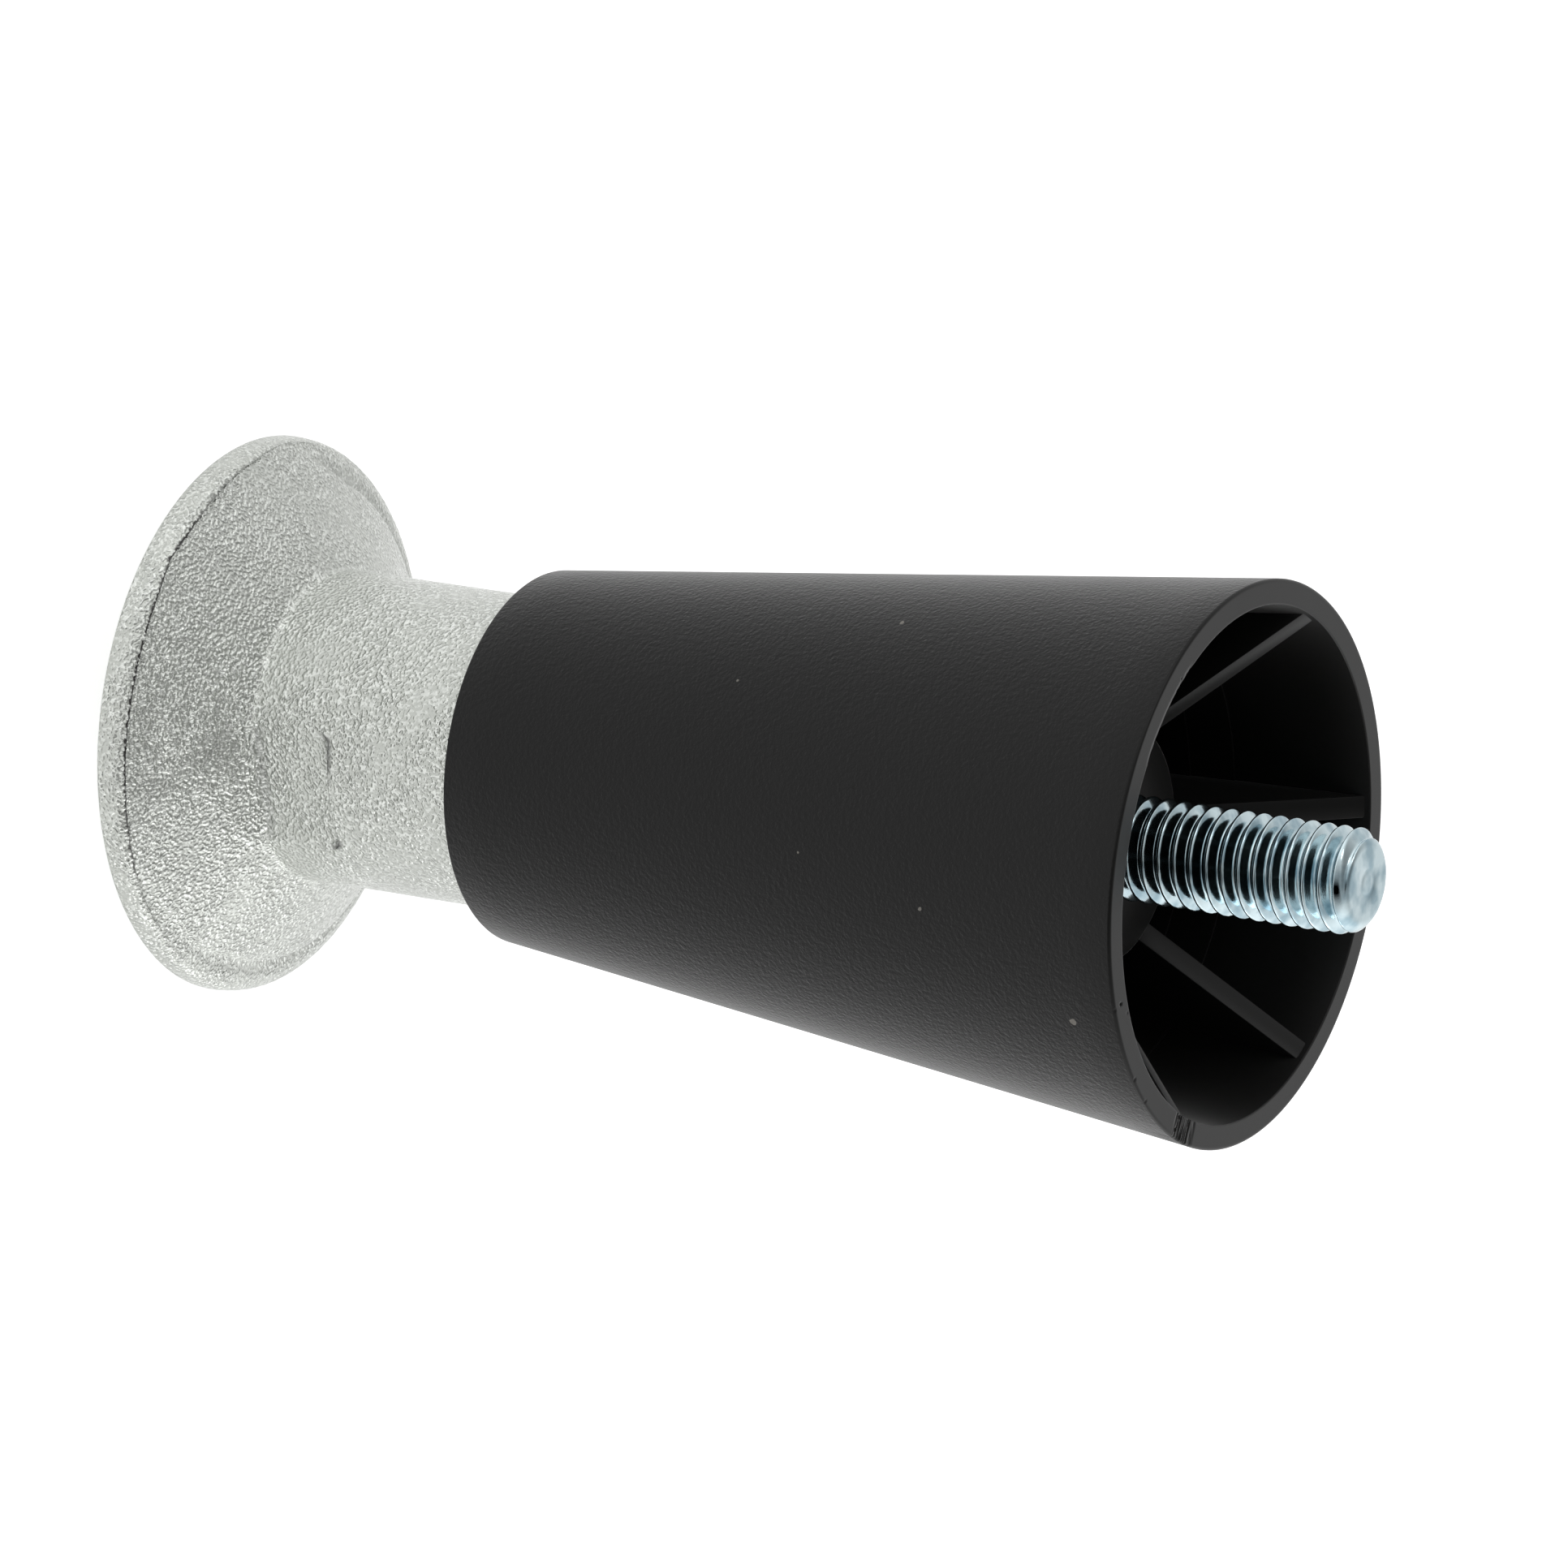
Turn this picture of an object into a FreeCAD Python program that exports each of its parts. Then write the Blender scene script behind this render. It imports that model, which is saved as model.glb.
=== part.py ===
# Equipment leg: a tapered moulded body with a threaded stud at its mouth and a screw-in flanged foot.
# +Z runs from the foot to the stud, z = 0 is the floor under the foot, and the Z axis is the axis of
# every turned form. One rib of the mouth lies on the +X side. Units are millimetres.
import FreeCAD, Part
import math
import os

# Overall heights
foot_exposed = 31.75       # floor to the lower end of the moulded body
body_height = 73.025       # moulded body, end to end
stud_reach = 11.7          # tip of the stud above the rim

# Moulded body
rim_radius = 25.4
small_end_radius = 17.2
wall = 2.3                 # wall of the mouth, square to the axis
small_end_round = 0.3      # rounding of the body's lower edge
rim_round = 0.25           # broken edge round the rim, outside
boss_depth = 13.2          # boss face below the rim
boss_radius = 10.8
boss_edge_round = 0.4
core_wall = 2.6            # plastic round the threaded bore
shoulder_thickness = 2.8   # plastic over the top of the threaded bore
shoulder_round = 1.0
pocket_floor_depth = 46.0  # bottom of the six pockets below the rim
pocket_floor_round = 0.6
mould_draft = 0.4          # degrees, on the boss and the ribs
ledge_width = 0.2          # each mould witness ledge inside the wall
ledge_depths = (13.0, 17.2)
bore_entry_chamfer = 0.5

# Ribs between the boss and the wall
rib_count = 6
rib_thickness = 2.0        # at the rib's outer, upper end
rib_drop_at_wall = 0.5     # rib top below the rim where it meets the wall

# Mounting bolt, 3/8 inch with sixteen threads to the inch
bolt_radius = 4.7625
bolt_length = 31.75        # under the head to the tip
bolt_grip_radius = 4.6     # plain length held in the boss
head_across_flats = 14.29
head_height = 5.95
head_bevel = 30.0          # degrees, on the head's corners
tip_bevel_length = 1.5
tip_radius = 3.3
tip_round = 0.5

# Foot
stem_radius = 14.5
flange_radius = 26.0
flange_edge_top = 2.95     # top of the flange's edge band
flange_bottom_round = 0.5
flange_top_round = 1.4     # takes most of the edge band
edge_band_width = 1.5      # band round the cone, measured in from the flange's edge
edge_step = 0.3            # drop from the band to the cone
cone_top = 9.1             # where the flange's cone meets the stem
cone_root_round = 0.7
flat_depth = 1.25          # each of the two wrench flats, below the stem's surface
flats_top = 17.5
flats_corner = 1.6
flats_margin = 0.15        # cutter width past the flat, each side
flats_turn = -50.0         # degrees, the way the first flat faces as the foot is screwed in
shank_radius = 12.7        # threaded shank, over the thread
shank_lead = 1.2           # lead chamfer at the shank's top
neck_depth = 0.8           # thread relief under the shoulder
neck_length = 2.0
shoulder_chamfer = 0.6
core_hole_radius = 8.5     # hollow up the middle of the casting
core_hole_end_wall = 7.0   # metal left over the hollow
base_land = 6.0            # ring that stands on the floor
base_recess = 0.8
base_recess_round = 0.4
cut_past = 1.0             # cutters run this far past what they cut

# Height adjustment and its clearances
travel_up = 6.35           # the foot screws this far further into the body
travel_down = 9.525        # and this far out of it
guide_left = 4.0           # plain stem still in the body at full extension
stop_gap = 0.6             # left at the shoulder and at the shank's top when screwed right in
running_clearance = 0.08   # round the stem and the shank
head_recess = 0.5          # the bolt's head lies this far above the threaded bore

# Heights that follow from the sizes above
rim_z = foot_exposed + body_height
tip_z = rim_z + stud_reach
boss_z = rim_z - boss_depth
seat_z = tip_z - bolt_length
head_bottom_z = seat_z - head_height
bore_top_z = head_bottom_z - head_recess
shoulder_z = bore_top_z + shoulder_thickness
pocket_floor_z = rim_z - pocket_floor_depth
stem_top_z = foot_exposed + travel_down + guide_left
guide_top_z = stem_top_z + travel_up + stop_gap
shank_top_z = bore_top_z - travel_up - stop_gap
guide_radius = stem_radius + running_clearance
bore_radius = shank_radius + running_clearance
core_radius = bore_radius + core_wall
taper = (rim_radius - small_end_radius) / body_height
draft = math.tan(math.radians(mould_draft))
same_place = 1e-4          # edges this close to a wanted place are the ones meant


def outer_radius(z):
    """Outside radius of the tapered body at a height."""
    return small_end_radius + taper * (z - foot_exposed)


def point(x, y, z):
    return FreeCAD.Vector(x, y, z)


def turned(profile):
    """Solid of revolution about Z from (radius, height) points."""
    points = [point(r, 0, z) for r, z in profile]
    face = Part.Face(Part.makePolygon(points + points[:1]))
    return face.revolve(point(0, 0, 0), point(0, 0, 1), 360)


def cylinder(radius, low, high):
    return Part.makeCylinder(radius, high - low, point(0, 0, low))


def hexagon(across_flats, low, high):
    """Hexagonal prism with a flat facing +X."""
    corner = across_flats / 2 / math.cos(math.radians(30))
    turns = [math.radians(30 + 60 * k) for k in range(6)]
    points = [point(corner * math.cos(a), corner * math.sin(a), low) for a in turns]
    return Part.Face(Part.makePolygon(points + points[:1])).extrude(point(0, 0, high - low))


def circles_at(shape, radius, z):
    """Circular edges of one radius at one height."""
    found = []
    for edge in shape.Edges:
        curve = edge.Curve
        if not isinstance(curve, Part.Circle):
            continue
        if abs(curve.Radius - radius) < same_place and abs(curve.Center.z - z) < same_place:
            found.append(edge)
    return found


def rounded(shape, size, radius, z):
    return shape.makeFillet(size, circles_at(shape, radius, z))


def chamfered(shape, size, radius, z):
    return shape.makeChamfer(size, circles_at(shape, radius, z))


def mouth_space():
    """The space inside the tapered wall, down to the pocket floor, with its two witness ledges."""
    profile = [(0, rim_z), (rim_radius - wall, rim_z)]
    stepped_in = 0
    for depth in ledge_depths:
        z = rim_z - depth
        profile.append((outer_radius(z) - wall - stepped_in, z))
        stepped_in += ledge_width
        profile.append((outer_radius(z) - wall - stepped_in, z))
    floor_radius = outer_radius(pocket_floor_z) - wall - stepped_in
    profile.append((floor_radius, pocket_floor_z))
    profile.append((0, pocket_floor_z))
    return rounded(turned(profile), pocket_floor_round, floor_radius, pocket_floor_z)


def core():
    """The boss round the bolt, the shoulder under it and the tube round the threaded bore."""
    boss_foot = boss_radius + (boss_z - shoulder_z) * draft
    tube_foot = core_radius + (shoulder_z - pocket_floor_z) * draft
    profile = [
        (0, boss_z),
        (boss_radius, boss_z),
        (boss_foot, shoulder_z),
        (core_radius, shoulder_z),
        (tube_foot, pocket_floor_z),
        (0, pocket_floor_z),
    ]
    solid = rounded(turned(profile), boss_edge_round, boss_radius, boss_z)
    solid = rounded(solid, shoulder_round, core_radius, shoulder_z)
    return rounded(solid, shoulder_round, boss_foot, shoulder_z)


def rib():
    """One rib on the +X side: its top falls straight from the wall to the edge of the boss face."""
    wall_radius = rim_radius - wall
    top_at_wall = rim_z - rib_drop_at_wall
    fall = (top_at_wall - boss_z) / (wall_radius - boss_radius)
    top_at_end = top_at_wall + fall * (rim_radius - wall_radius)
    side = [
        (0, pocket_floor_z),
        (rim_radius, pocket_floor_z),
        (rim_radius, top_at_end),
        (boss_radius, boss_z),
        (0, boss_z),
    ]
    points = [point(x, -rim_radius, z) for x, z in side]
    slab = Part.Face(Part.makePolygon(points + points[:1])).extrude(point(0, 2 * rim_radius, 0))
    half_top = rib_thickness / 2
    half_foot = half_top + (top_at_end - pocket_floor_z) * draft
    section = [
        (half_top, top_at_end),
        (half_foot, pocket_floor_z),
        (-half_foot, pocket_floor_z),
        (-half_top, top_at_end),
    ]
    points = [point(0, y, z) for y, z in section]
    plate = Part.Face(Part.makePolygon(points + points[:1])).extrude(point(rim_radius, 0, 0))
    return slab.common(plate)


def around(solid, count):
    """Copies of a solid, evenly turned about Z."""
    copies = []
    for k in range(count):
        copy = solid.copy()
        copy.rotate(point(0, 0, 0), point(0, 0, 1), 360 * k / count)
        copies.append(copy)
    return copies


def leg_body():
    """The moulded body: tapered shell, boss, ribs, guide bore, threaded bore and bolt pocket."""
    shell = Part.makeCone(small_end_radius, rim_radius, body_height, point(0, 0, foot_exposed))
    shell = rounded(shell, small_end_round, small_end_radius, foot_exposed)
    shell = rounded(shell, rim_round, rim_radius, rim_z)
    hollow = mouth_space().cut([core()] + around(rib(), rib_count))
    bores = cylinder(guide_radius, foot_exposed, guide_top_z)
    bores = bores.fuse(cylinder(bore_radius, guide_top_z, bore_top_z)).removeSplitter()
    entry = Part.makeCone(
        guide_radius + bore_entry_chamfer,
        guide_radius,
        bore_entry_chamfer,
        point(0, 0, foot_exposed),
    )
    pocket = hexagon(head_across_flats, bore_top_z, seat_z)
    grip_hole = cylinder(bolt_grip_radius, seat_z, boss_z)
    return shell.cut([hollow, bores, entry, pocket, grip_hole])


def mounting_bolt():
    """Hex bolt held in the boss from below, its thread drawn as a plain cylinder over the crests."""
    head = hexagon(head_across_flats, head_bottom_z, seat_z)
    corner = head_across_flats / 2 / math.cos(math.radians(30))
    inscribed = head_across_flats / 2
    bevel = (corner - inscribed) * math.tan(math.radians(head_bevel))
    cap = turned([
        (0, head_bottom_z),
        (inscribed, head_bottom_z),
        (corner, head_bottom_z + bevel),
        (corner, seat_z),
        (0, seat_z),
    ])
    shaft = turned([
        (0, seat_z),
        (bolt_grip_radius, seat_z),
        (bolt_grip_radius, boss_z),
        (bolt_radius, boss_z),
        (bolt_radius, tip_z - tip_bevel_length),
        (tip_radius, tip_z),
        (0, tip_z),
    ])
    shaft = rounded(shaft, tip_round, tip_radius, tip_z)
    return head.common(cap).fuse(shaft).removeSplitter()


def foot_turning():
    """The foot's turned form: flange with edge band and cone, stem, relief and threaded shank."""
    band_inner = flange_radius - edge_band_width
    solid = turned([
        (0, 0),
        (flange_radius, 0),
        (flange_radius, flange_edge_top),
        (band_inner, flange_edge_top),
        (band_inner, flange_edge_top - edge_step),
        (stem_radius, cone_top),
        (stem_radius, stem_top_z),
        (shank_radius - neck_depth, stem_top_z),
        (shank_radius - neck_depth, stem_top_z + neck_length),
        (shank_radius, stem_top_z + neck_length + neck_depth),
        (shank_radius, shank_top_z),
        (0, shank_top_z),
    ])
    solid = rounded(solid, flange_bottom_round, flange_radius, 0)
    solid = rounded(solid, flange_top_round, flange_radius, flange_edge_top)
    solid = rounded(solid, cone_root_round, stem_radius, cone_top)
    solid = chamfered(solid, shoulder_chamfer, stem_radius, stem_top_z)
    return chamfered(solid, shank_lead, shank_radius, shank_top_z)


def flat_cutter():
    """Cutter for the flat on the +X side. It stops on the flange's cone and has rounded upper corners."""
    face_x = stem_radius - flat_depth
    half_width = math.sqrt(stem_radius ** 2 - face_x ** 2) + flats_margin
    depth = stem_radius - face_x + cut_past
    block = Part.makeBox(depth, 2 * half_width, flats_top, point(face_x, -half_width, 0))
    corners = []
    for edge in block.Edges:
        middle = edge.CenterOfMass
        along_x = abs(edge.Vertexes[0].X - edge.Vertexes[-1].X) > depth / 2
        if along_x and abs(middle.z - flats_top) < same_place:
            corners.append(edge)
    block = block.makeFillet(flats_corner, corners)
    rise = (cone_top - flange_edge_top + edge_step) / (flange_radius - edge_band_width - stem_radius)
    cone_tip = cone_top + rise * stem_radius
    cone = turned([
        (0, -cut_past),
        (flange_radius, -cut_past),
        (flange_radius, cone_tip - rise * flange_radius),
        (0, cone_tip),
    ])
    return block.cut(cone)


def foot():
    """The cast foot, hollow from below, with two wrench flats over its flange."""
    solid = foot_turning()
    flats = around(flat_cutter(), 2)
    recess = cylinder(flange_radius - base_land, 0, base_recess)
    recess = rounded(recess, base_recess_round, flange_radius - base_land, base_recess)
    hole_end = shank_top_z - core_hole_end_wall
    hole_tip = core_hole_radius - hole_end * draft
    hole = Part.makeCone(core_hole_radius, hole_tip, hole_end, point(0, 0, 0))
    hole = rounded(hole, hole_tip / 2, hole_tip, hole_end)
    solid = solid.cut(flats + [recess, hole])
    solid.rotate(point(0, 0, 0), point(0, 0, 1), flats_turn)
    return solid


def save(name, shape):
    """Check one solid and write its file."""
    solids = shape.Solids
    if len(solids) != 1 or not shape.isValid():
        raise RuntimeError(name + " isn't one valid solid")
    box = shape.BoundBox
    print(name, "volume", round(shape.Volume), "z", round(box.ZMin, 3), round(box.ZMax, 3))
    solids[0].exportStep("parts/" + name + ".step")


os.makedirs("parts", exist_ok=True)
save("leg_body", leg_body())
save("mounting_bolt", mounting_bolt())
save("foot", foot())
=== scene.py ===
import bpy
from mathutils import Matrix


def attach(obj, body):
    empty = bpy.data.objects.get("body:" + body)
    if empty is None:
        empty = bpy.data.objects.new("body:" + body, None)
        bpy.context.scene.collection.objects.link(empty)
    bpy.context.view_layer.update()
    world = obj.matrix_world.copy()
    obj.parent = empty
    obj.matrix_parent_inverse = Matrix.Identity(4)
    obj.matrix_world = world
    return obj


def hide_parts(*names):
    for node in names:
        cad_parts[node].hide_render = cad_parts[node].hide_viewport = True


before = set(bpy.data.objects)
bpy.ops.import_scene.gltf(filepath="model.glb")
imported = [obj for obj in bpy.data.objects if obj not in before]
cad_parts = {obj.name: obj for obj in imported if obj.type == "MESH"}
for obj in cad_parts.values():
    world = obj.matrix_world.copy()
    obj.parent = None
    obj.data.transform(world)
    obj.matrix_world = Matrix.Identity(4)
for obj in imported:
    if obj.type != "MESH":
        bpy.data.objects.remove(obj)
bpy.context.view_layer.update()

import math
import bmesh
import bpy
from mathutils import Matrix, Vector, noise

mm = 0.001
turn = 2 * math.pi


def linear(hexColour):
    # sRGB hex to the linear colour that the sockets take
    parts = [int(hexColour[k:k + 2], 16) / 255 for k in (1, 3, 5)]
    return [c / 12.92 if c <= 0.04045 else ((c + 0.055) / 1.055) ** 2.4 for c in parts] + [1.0]


def mix(a, b, t):
    return a + (b - a) * t


def smooth(t):
    t = min(1.0, max(0.0, t))
    return t * t * (3 - 2 * t)


# One node with its settings, its inputs' values and its links
def addNode(tree, kind, settings=None, inputs=None, label=None):
    node = tree.nodes.new(kind)
    for name, value in (settings or {}).items():
        setattr(node, name, value)
    for socket, value in (inputs or {}).items():
        if isinstance(value, bpy.types.NodeSocket):
            tree.links.new(value, node.inputs[socket])
        else:
            node.inputs[socket].default_value = value
    if label:
        node.label = label
    return node


def newMaterial(name):
    material = bpy.data.materials.new(name)
    material.use_nodes = True
    material.node_tree.nodes.clear()
    return material, material.node_tree


def perMetre(sizeInMm):
    # texture scale for a pattern cell of this many millimetres, in object coordinates
    return 1 / (sizeInMm * mm)


def ramp(tree, factor, stops, mode="LINEAR"):
    node = addNode(tree, "ShaderNodeValToRGB", inputs={"Fac": factor})
    node.color_ramp.interpolation = mode
    while len(node.color_ramp.elements) < len(stops):
        node.color_ramp.elements.new(0.5)
    for element, (place, colour) in zip(node.color_ramp.elements, stops):
        element.position = place
        element.color = colour if isinstance(colour, (list, tuple)) else (colour, colour, colour, 1)
    return node


# Moulded nylon: injection moulded black nylon. The outside has the fine pebble of spark-eroded
# steel, which breaks its sheen into specks; the rim, ribs and pockets are plain and a bit glossier
nylon = {
    "outside": "#0e0e0e",
    # painted shade: the plain faces of the rim, ribs, pockets and bores are coloured darker than the outside
    "inside": "#090908",
    "scar": "#070605",        # dark colour in the rim's nicks, darker the deeper the nick, and in streaks at the gate; the dark flecks use it too
    "fleck": "#75726c",       # pale dust specks
    "grainMm": 0.42,          # spark-eroded pebble
    "grainDepthMm": 0.1,
    "waveMm": 9.0,            # slow waviness of a thick moulding
    "waveDepthMm": 0.02,
    "outsideRoughness": 0.4,
    "insideRoughness": 0.36,
    "scarRoughness": 0.75,
    "specular": 0.2,
    "sheen": 0.42,             # the pebble lights up where it is seen edge on
    "sheenRoughness": 0.3,
    "ior": 1.53,
    "flecks": (
        # height, angle in degrees, radius in mm, pale or dark
        (75.9, -88.3, 0.2, "dark"),
        (76.6, -80.9, 0.18, "dark"),
        (74.7, -125.6, 0.22, "pale"),
        (84.7, -56.6, 0.18, "pale"),
        (99.97, -37.9, 0.32, "pale"),
        (61.2, -104.0, 0.12, "pale"),
        (71.5, -64.0, 0.11, "pale"),
        (69.8, -45.5, 0.14, "dark"),
    ),
}


def wallRadius(height):
    # outside of the tapered body, in mm
    return 17.2 + (25.4 - 17.2) / 73.025 * (height - 31.75)


def mouldedNylon():
    material, tree = newMaterial("mouldedNylon")
    place = addNode(tree, "ShaderNodeTexCoord").outputs["Object"]
    outside = addNode(tree, "ShaderNodeAttribute", {"attribute_name": "outside"}).outputs["Fac"]
    scar = addNode(tree, "ShaderNodeAttribute", {"attribute_name": "scar"}).outputs["Fac"]
    grain = addNode(tree, "ShaderNodeTexNoise", inputs={
        "Vector": place, "Scale": perMetre(nylon["grainMm"]), "Detail": 2.0, "Roughness": 0.6})
    wave = addNode(tree, "ShaderNodeTexNoise", inputs={
        "Vector": place, "Scale": perMetre(nylon["waveMm"]), "Detail": 1.0})
    # outside colour on the pebbled wall, darker painted shade on the plain faces
    colour = addNode(tree, "ShaderNodeMix", {"data_type": "RGBA"}, {
        0: outside, 6: linear(nylon["inside"]), 7: linear(nylon["outside"])}).outputs[2]
    colour = addNode(tree, "ShaderNodeMix", {"data_type": "RGBA"}, {
        0: scar, 6: colour, 7: linear(nylon["scar"])}).outputs[2]
    for height, angle, size, kind in nylon["flecks"]:
        radius = wallRadius(height)
        angle = math.radians(angle)
        centre = Vector((radius * math.cos(angle), radius * math.sin(angle), height)) * mm
        away = addNode(tree, "ShaderNodeVectorMath", {"operation": "DISTANCE"}, {0: place, 1: centre})
        ragged = addNode(tree, "ShaderNodeMath", {"operation": "MULTIPLY_ADD"}, {
            0: grain.outputs[0], 1: 0.3 * mm, 2: away.outputs["Value"]})
        spot = addNode(tree, "ShaderNodeMapRange", inputs={
            "Value": ragged.outputs[0], "From Min": (size + 0.18) * mm, "From Max": (size + 0.12) * mm})
        shade = nylon["fleck"] if kind == "pale" else nylon["scar"]
        colour = addNode(tree, "ShaderNodeMix", {"data_type": "RGBA"}, {
            0: spot.outputs[0], 6: colour, 7: linear(shade)}).outputs[2]
    finish = addNode(tree, "ShaderNodeMapRange", inputs={
        "Value": outside, "To Min": nylon["insideRoughness"], "To Max": nylon["outsideRoughness"]})
    roughness = addNode(tree, "ShaderNodeMix", {"data_type": "FLOAT"}, {
        0: scar, 2: finish.outputs[0], 3: nylon["scarRoughness"]})
    waveBump = addNode(tree, "ShaderNodeBump", inputs={
        "Height": wave.outputs[0], "Distance": nylon["waveDepthMm"] * mm, "Strength": 1.0})
    grainDepth = addNode(tree, "ShaderNodeMath", {"operation": "MULTIPLY"}, {
        0: grain.outputs[0], 1: outside})
    bump = addNode(tree, "ShaderNodeBump", inputs={
        "Height": grainDepth.outputs[0], "Distance": nylon["grainDepthMm"] * mm, "Strength": 1.0,
        "Normal": waveBump.outputs[0]})
    shader = addNode(tree, "ShaderNodeBsdfPrincipled", inputs={
        "Base Color": colour, "Roughness": roughness.outputs[0], "IOR": nylon["ior"],
        "Specular IOR Level": nylon["specular"], "Sheen Weight": nylon["sheen"],
        "Sheen Roughness": nylon["sheenRoughness"], "Normal": bump.outputs[0]})
    addNode(tree, "ShaderNodeOutputMaterial", inputs={"Surface": shader.outputs[0]})
    return material


# Zinc plated steel: rolled thread under a bright blue passivated zinc, a clean bluish mirror
zinc = {
    "colour": "#c6d7dc",
    "shade": "#93abb5",
    "roughness": 0.12,
    "cloudMm": 2.2,
    "scratchMm": 0.12,
    "scratchDepthMm": 0.004,
}


def zincPlatedSteel():
    material, tree = newMaterial("zincPlatedSteel")
    place = addNode(tree, "ShaderNodeTexCoord").outputs["Object"]
    cloud = addNode(tree, "ShaderNodeTexNoise", inputs={
        "Vector": place, "Scale": perMetre(zinc["cloudMm"]), "Detail": 2.0})
    tint = ramp(tree, cloud.outputs[0], [(0.35, linear(zinc["shade"])), (0.6, linear(zinc["colour"]))])
    fine = addNode(tree, "ShaderNodeTexNoise", inputs={
        "Vector": place, "Scale": perMetre(zinc["scratchMm"]), "Detail": 2.0})
    bump = addNode(tree, "ShaderNodeBump", inputs={
        "Height": fine.outputs[0], "Distance": zinc["scratchDepthMm"] * mm})
    shader = addNode(tree, "ShaderNodeBsdfPrincipled", inputs={
        "Base Color": tint.outputs[0], "Metallic": 1.0, "Roughness": zinc["roughness"],
        "Normal": bump.outputs[0]})
    addNode(tree, "ShaderNodeOutputMaterial", inputs={"Surface": shader.outputs[0]})
    return material


# Wrinkle lacquered aluminium: a silver lacquer that shrank as it cured, so it stands in small
# rounded lumps and short worms with narrow valleys between, and each lump holds a highlight.
# The colour is also lighter on the lumps' tops and grey in the valleys: painted highlight and painted shade
lacquer = {
    # crest and hollow: painted highlight on the lumps' tops, painted shade in the valleys
    "crest": "#eaede8",
    "hollow": "#c6c9c3",
    "paintedShade": "#171311",        # painted shade: dark colour for the shadowed crevice of the flange's parting step and the corners of the wrench flats
    "lumpMm": 0.31,           # noise cell, gives lumps about 0.4 mm across
    "lumpDepthMm": 0.3,
    "stepMm": 0.13,           # half width of the painted shade line in the step
    "patchMm": 5.0,           # patches where the wrinkle came out fainter
    "roughness": 0.27,
    "metallic": 0.75,
    "coat": 0.3,              # clear skin of the lacquer: sharp glints, brighter edges
    "coatRoughness": 0.14,
}


def wrinkledLacquer():
    material, tree = newMaterial("wrinkledLacquer")
    place = addNode(tree, "ShaderNodeTexCoord").outputs["Object"]
    paintedShade = addNode(tree, "ShaderNodeAttribute", {"attribute_name": "paintedShade"}).outputs["Fac"]
    field = addNode(tree, "ShaderNodeTexNoise", inputs={
        "Vector": place, "Scale": perMetre(lacquer["lumpMm"]), "Detail": 0.0, "Distortion": 0.35})
    patch = addNode(tree, "ShaderNodeTexNoise", inputs={
        "Vector": place, "Scale": perMetre(lacquer["patchMm"]), "Detail": 1.0})
    strong = addNode(tree, "ShaderNodeMapRange", inputs={
        "Value": patch.outputs[0], "From Min": 0.3, "From Max": 0.55, "To Min": 0.55, "To Max": 1.0})
    height = addNode(tree, "ShaderNodeMath", {"operation": "MULTIPLY"}, {
        0: field.outputs[0], 1: strong.outputs[0]})
    crests = addNode(tree, "ShaderNodeMapRange", {"interpolation_type": "SMOOTHSTEP"}, {
        "Value": field.outputs[0], "From Min": 0.46, "From Max": 0.66})
    # painted highlight on the crests, painted shade in the hollows
    crestGlint = addNode(tree, "ShaderNodeMath", {"operation": "MULTIPLY"}, {
        0: crests.outputs[0], 1: strong.outputs[0]})
    wander = addNode(tree, "ShaderNodeMath", {"operation": "MULTIPLY_ADD"}, {
        0: field.outputs[0], 1: 0.4, 2: addNode(tree, "ShaderNodeAttribute", {
            "attribute_name": "fromStep"}).outputs["Fac"]})
    fromLine = addNode(tree, "ShaderNodeMath", {"operation": "ABSOLUTE"}, {0: addNode(
        tree, "ShaderNodeMath", {"operation": "SUBTRACT"}, {0: wander.outputs[0], 1: 0.2}).outputs[0]})
    # painted shade: a ragged dark line along the parting step's crevice, joined with the painted shade in the flats'
    # corners
    line = addNode(tree, "ShaderNodeMapRange", inputs={
        "Value": fromLine.outputs[0], "From Min": lacquer["stepMm"] + 0.06, "From Max": lacquer["stepMm"] - 0.05})
    line = addNode(tree, "ShaderNodeMath", {"operation": "MULTIPLY"}, {
        0: line.outputs[0], 1: addNode(tree, "ShaderNodeAttribute", {
            "attribute_name": "stepShade"}).outputs["Fac"]})
    paintedShade = addNode(tree, "ShaderNodeMath", {"operation": "MAXIMUM"}, {0: line.outputs[0], 1: paintedShade}).outputs[0]
    # colour between the painted shade of the hollows and the painted highlight of the crests
    tint = addNode(tree, "ShaderNodeMix", {"data_type": "RGBA"}, {
        0: crestGlint.outputs[0], 6: linear(lacquer["hollow"]), 7: linear(lacquer["crest"])})
    colour = addNode(tree, "ShaderNodeMix", {"data_type": "RGBA"}, {
        0: paintedShade, 6: tint.outputs[2], 7: linear(lacquer["paintedShade"])})
    # where the painted shade lies, the lacquer is drawn dark and not metallic
    shine = addNode(tree, "ShaderNodeMapRange", inputs={
        "Value": paintedShade, "To Min": lacquer["metallic"], "To Max": 0.0})
    bump = addNode(tree, "ShaderNodeBump", inputs={
        "Height": height.outputs[0], "Distance": lacquer["lumpDepthMm"] * mm, "Strength": 1.0})
    shader = addNode(tree, "ShaderNodeBsdfPrincipled", inputs={
        "Base Color": colour.outputs[2], "Metallic": shine.outputs[0], "Roughness": lacquer["roughness"],
        "Coat Weight": lacquer["coat"], "Coat Roughness": lacquer["coatRoughness"],
        "Normal": bump.outputs[0], "Coat Normal": bump.outputs[0]})
    addNode(tree, "ShaderNodeOutputMaterial", inputs={"Surface": shader.outputs[0]})
    return material


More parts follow.
